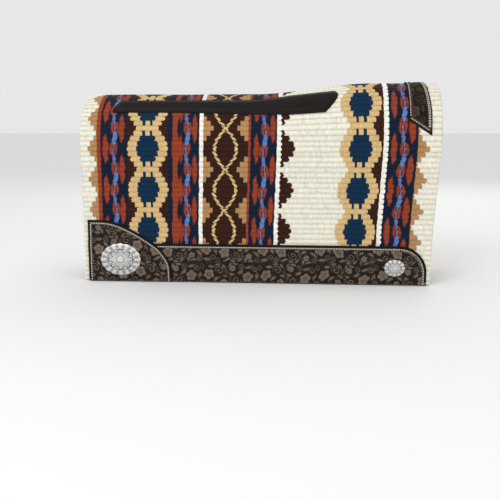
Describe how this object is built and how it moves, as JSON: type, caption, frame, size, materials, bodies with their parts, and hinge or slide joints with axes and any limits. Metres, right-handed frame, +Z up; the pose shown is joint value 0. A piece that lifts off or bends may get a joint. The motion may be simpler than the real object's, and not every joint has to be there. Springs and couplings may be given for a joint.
{
  "type": "western saddle pad",
  "caption": "Western saddle pad: patterned woven wool over a felt core, with tooled leather edging, smooth bar strips and metal conchos; its sides fold.",
  "frame": {"origin": "on the floor, below the middle of the pad, as it stands on its two lower hems", "axes": "+X towards the front (the horse's withers), +Y to the horse's left, +Z up"},
  "size_m": [0.864, 0.244, 0.4877],
  "materials": {
    "woven_wool": "weft-faced woven wool, patterned in rust, navy, tan and brown on cream",
    "core_felt": "pressed wool felt",
    "contact_felt": "needled wool felt",
    "tooled_leather": "floral tooled, antiqued dark brown",
    "smooth_leather": "smooth, nearly black brown",
    "thread": "waxed cream thread",
    "silver": "engraved, antiqued silver plate",
    "screw_steel": "plain"
  },
  "bodies": {
    "arch": {"bar_leather_left": "smooth_leather", "bar_leather_right": "smooth_leather", "contact_felt_arch": "contact_felt", "felt_core_arch": "core_felt", "wither_leather": "tooled_leather", "wither_stitching": "thread", "woven_top_arch": "woven_wool"},
    "side_left": {"contact_felt_left": "contact_felt", "corner_leather_left": "tooled_leather", "corner_stitching_left": "thread", "felt_core_left": "core_felt", "front_concho_left": "silver", "front_concho_screw_left": "screw_steel", "rear_concho_left": "silver", "rear_concho_screw_left": "screw_steel", "wear_leather_left": "tooled_leather", "wear_stitching_left": "thread", "woven_top_left": "woven_wool"},
    "side_right": {"contact_felt_right": "contact_felt", "corner_leather_right": "tooled_leather", "corner_stitching_right": "thread", "felt_core_right": "core_felt", "front_concho_right": "silver", "front_concho_screw_right": "screw_steel", "rear_concho_right": "silver", "rear_concho_screw_right": "screw_steel", "wear_leather_right": "tooled_leather", "wear_stitching_right": "thread", "woven_top_right": "woven_wool"}
  },
  "joints": [
    {"name": "left_side_fold", "type": "hinge", "parent": "arch", "child": "side_left", "pos_m": [0, 0.112, 0.32], "axis": [1, 0, 0], "range_deg": [-15, 90], "stiffness_Nm_per_rad": 12},
    {"name": "right_side_fold", "type": "hinge", "parent": "arch", "child": "side_right", "pos_m": [0, -0.112, 0.32], "axis": [-1, 0, 0], "range_deg": [-15, 90], "stiffness_Nm_per_rad": 12}
  ]
}
